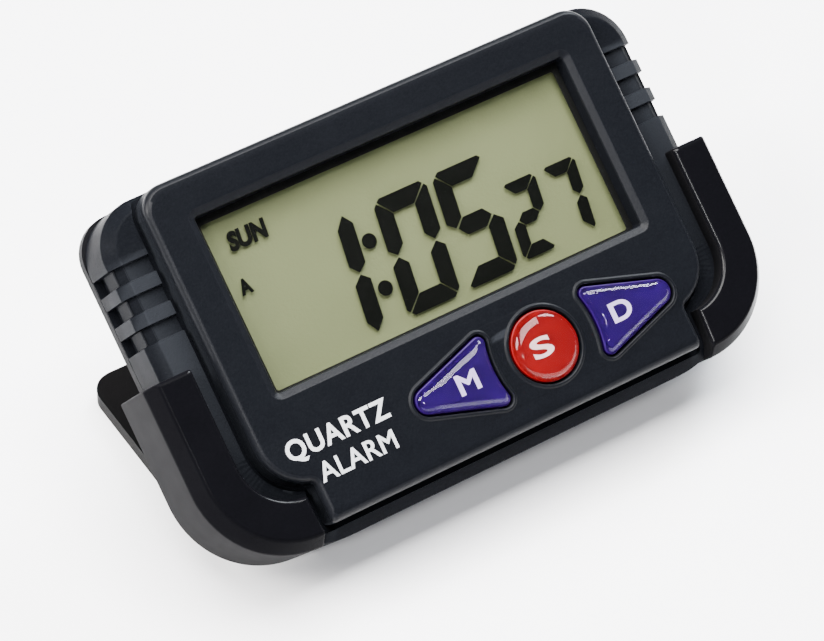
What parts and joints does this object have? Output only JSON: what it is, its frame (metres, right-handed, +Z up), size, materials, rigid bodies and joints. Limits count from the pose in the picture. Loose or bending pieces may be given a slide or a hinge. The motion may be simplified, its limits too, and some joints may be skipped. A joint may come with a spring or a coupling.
{
  "type": "digital dashboard clock",
  "caption": "Small digital clock with a large liquid-crystal window, domed keys and corner guards, tilting on a flat hinged base plate.",
  "frame": {"origin": "centre of the base plate's flat underside", "axes": "+Z up from the surface it stands on, +X along the clock's width to the viewer's right, +Y from the hinge edge towards the plate's rear edge"},
  "size_m": [0.078, 0.0427, 0.0387],
  "materials": {
    "case_plastic": "fine moulded texture, charcoal",
    "rear_plastic": "fine moulded texture, black",
    "guard_plastic": "smooth semi-gloss, black",
    "base_plastic": "satin, black",
    "clear_window": "polished clear plastic",
    "display_glass": "liquid-crystal cell between polarisers",
    "reflector": "matt metallised film",
    "blue_key": "clear blue dome, glossy",
    "red_key": "clear red dome, glossy",
    "silicone": "soft, matt",
    "contact_rubber": "layered carbon and silicone",
    "board": "solder-mask lacquer",
    "epoxy": "poured resin",
    "ceramic_parts": "small moulded components",
    "steel": "nickel-plated",
    "buzzer_brass": "rolled sheet"
  },
  "bodies": {
    "base": {"base_plate": "base_plastic"},
    "clock": {"front_case": "case_plastic", "rear_case": "rear_plastic", "left_guard": "guard_plastic", "right_guard": "guard_plastic", "window_lens": "clear_window", "display_glass": "display_glass", "display_reflector": "reflector", "zebra_strip": "contact_rubber", "circuit_board": "board", "chip_cover": "epoxy", "quartz_crystal": "steel", "board_components": "ceramic_parts", "board_screws": "steel", "key_mat": "silicone", "buzzer_disc": "buzzer_brass", "buzzer_springs": "steel", "button_cell": "steel", "positive_contact": "steel", "negative_contact": "steel", "case_screws": "steel"},
    "mode_key": {"mode_key": "blue_key"},
    "set_key": {"set_key": "red_key"},
    "display_key": {"display_key": "blue_key"},
    "battery_door": {"battery_door": "rear_plastic"}
  },
  "joints": [
    {"name": "case_tilt", "type": "hinge", "parent": "base", "child": "clock", "pos_m": [0, -0.01855, 0.0036], "axis": [1, 0, 0], "range_deg": [-36, 24]},
    {"name": "mode_key_press", "type": "slide", "parent": "clock", "child": "mode_key", "axis": [0, 0.5878, -0.809], "range_m": [0, 0.0007], "stiffness_N_per_m": 800, "springref_m": -0.0006},
    {"name": "set_key_press", "type": "slide", "parent": "clock", "child": "set_key", "axis": [0, 0.5878, -0.809], "range_m": [0, 0.0007], "stiffness_N_per_m": 800, "springref_m": -0.0006},
    {"name": "display_key_press", "type": "slide", "parent": "clock", "child": "display_key", "axis": [0, 0.5878, -0.809], "range_m": [0, 0.0007], "stiffness_N_per_m": 800, "springref_m": -0.0006},
    {"name": "battery_door_twist", "type": "hinge", "parent": "clock", "child": "battery_door", "pos_m": [-0.02, -0.00937, 0.00866], "axis": [0, 0.5878, -0.809], "range_deg": [0, 45]}
  ]
}
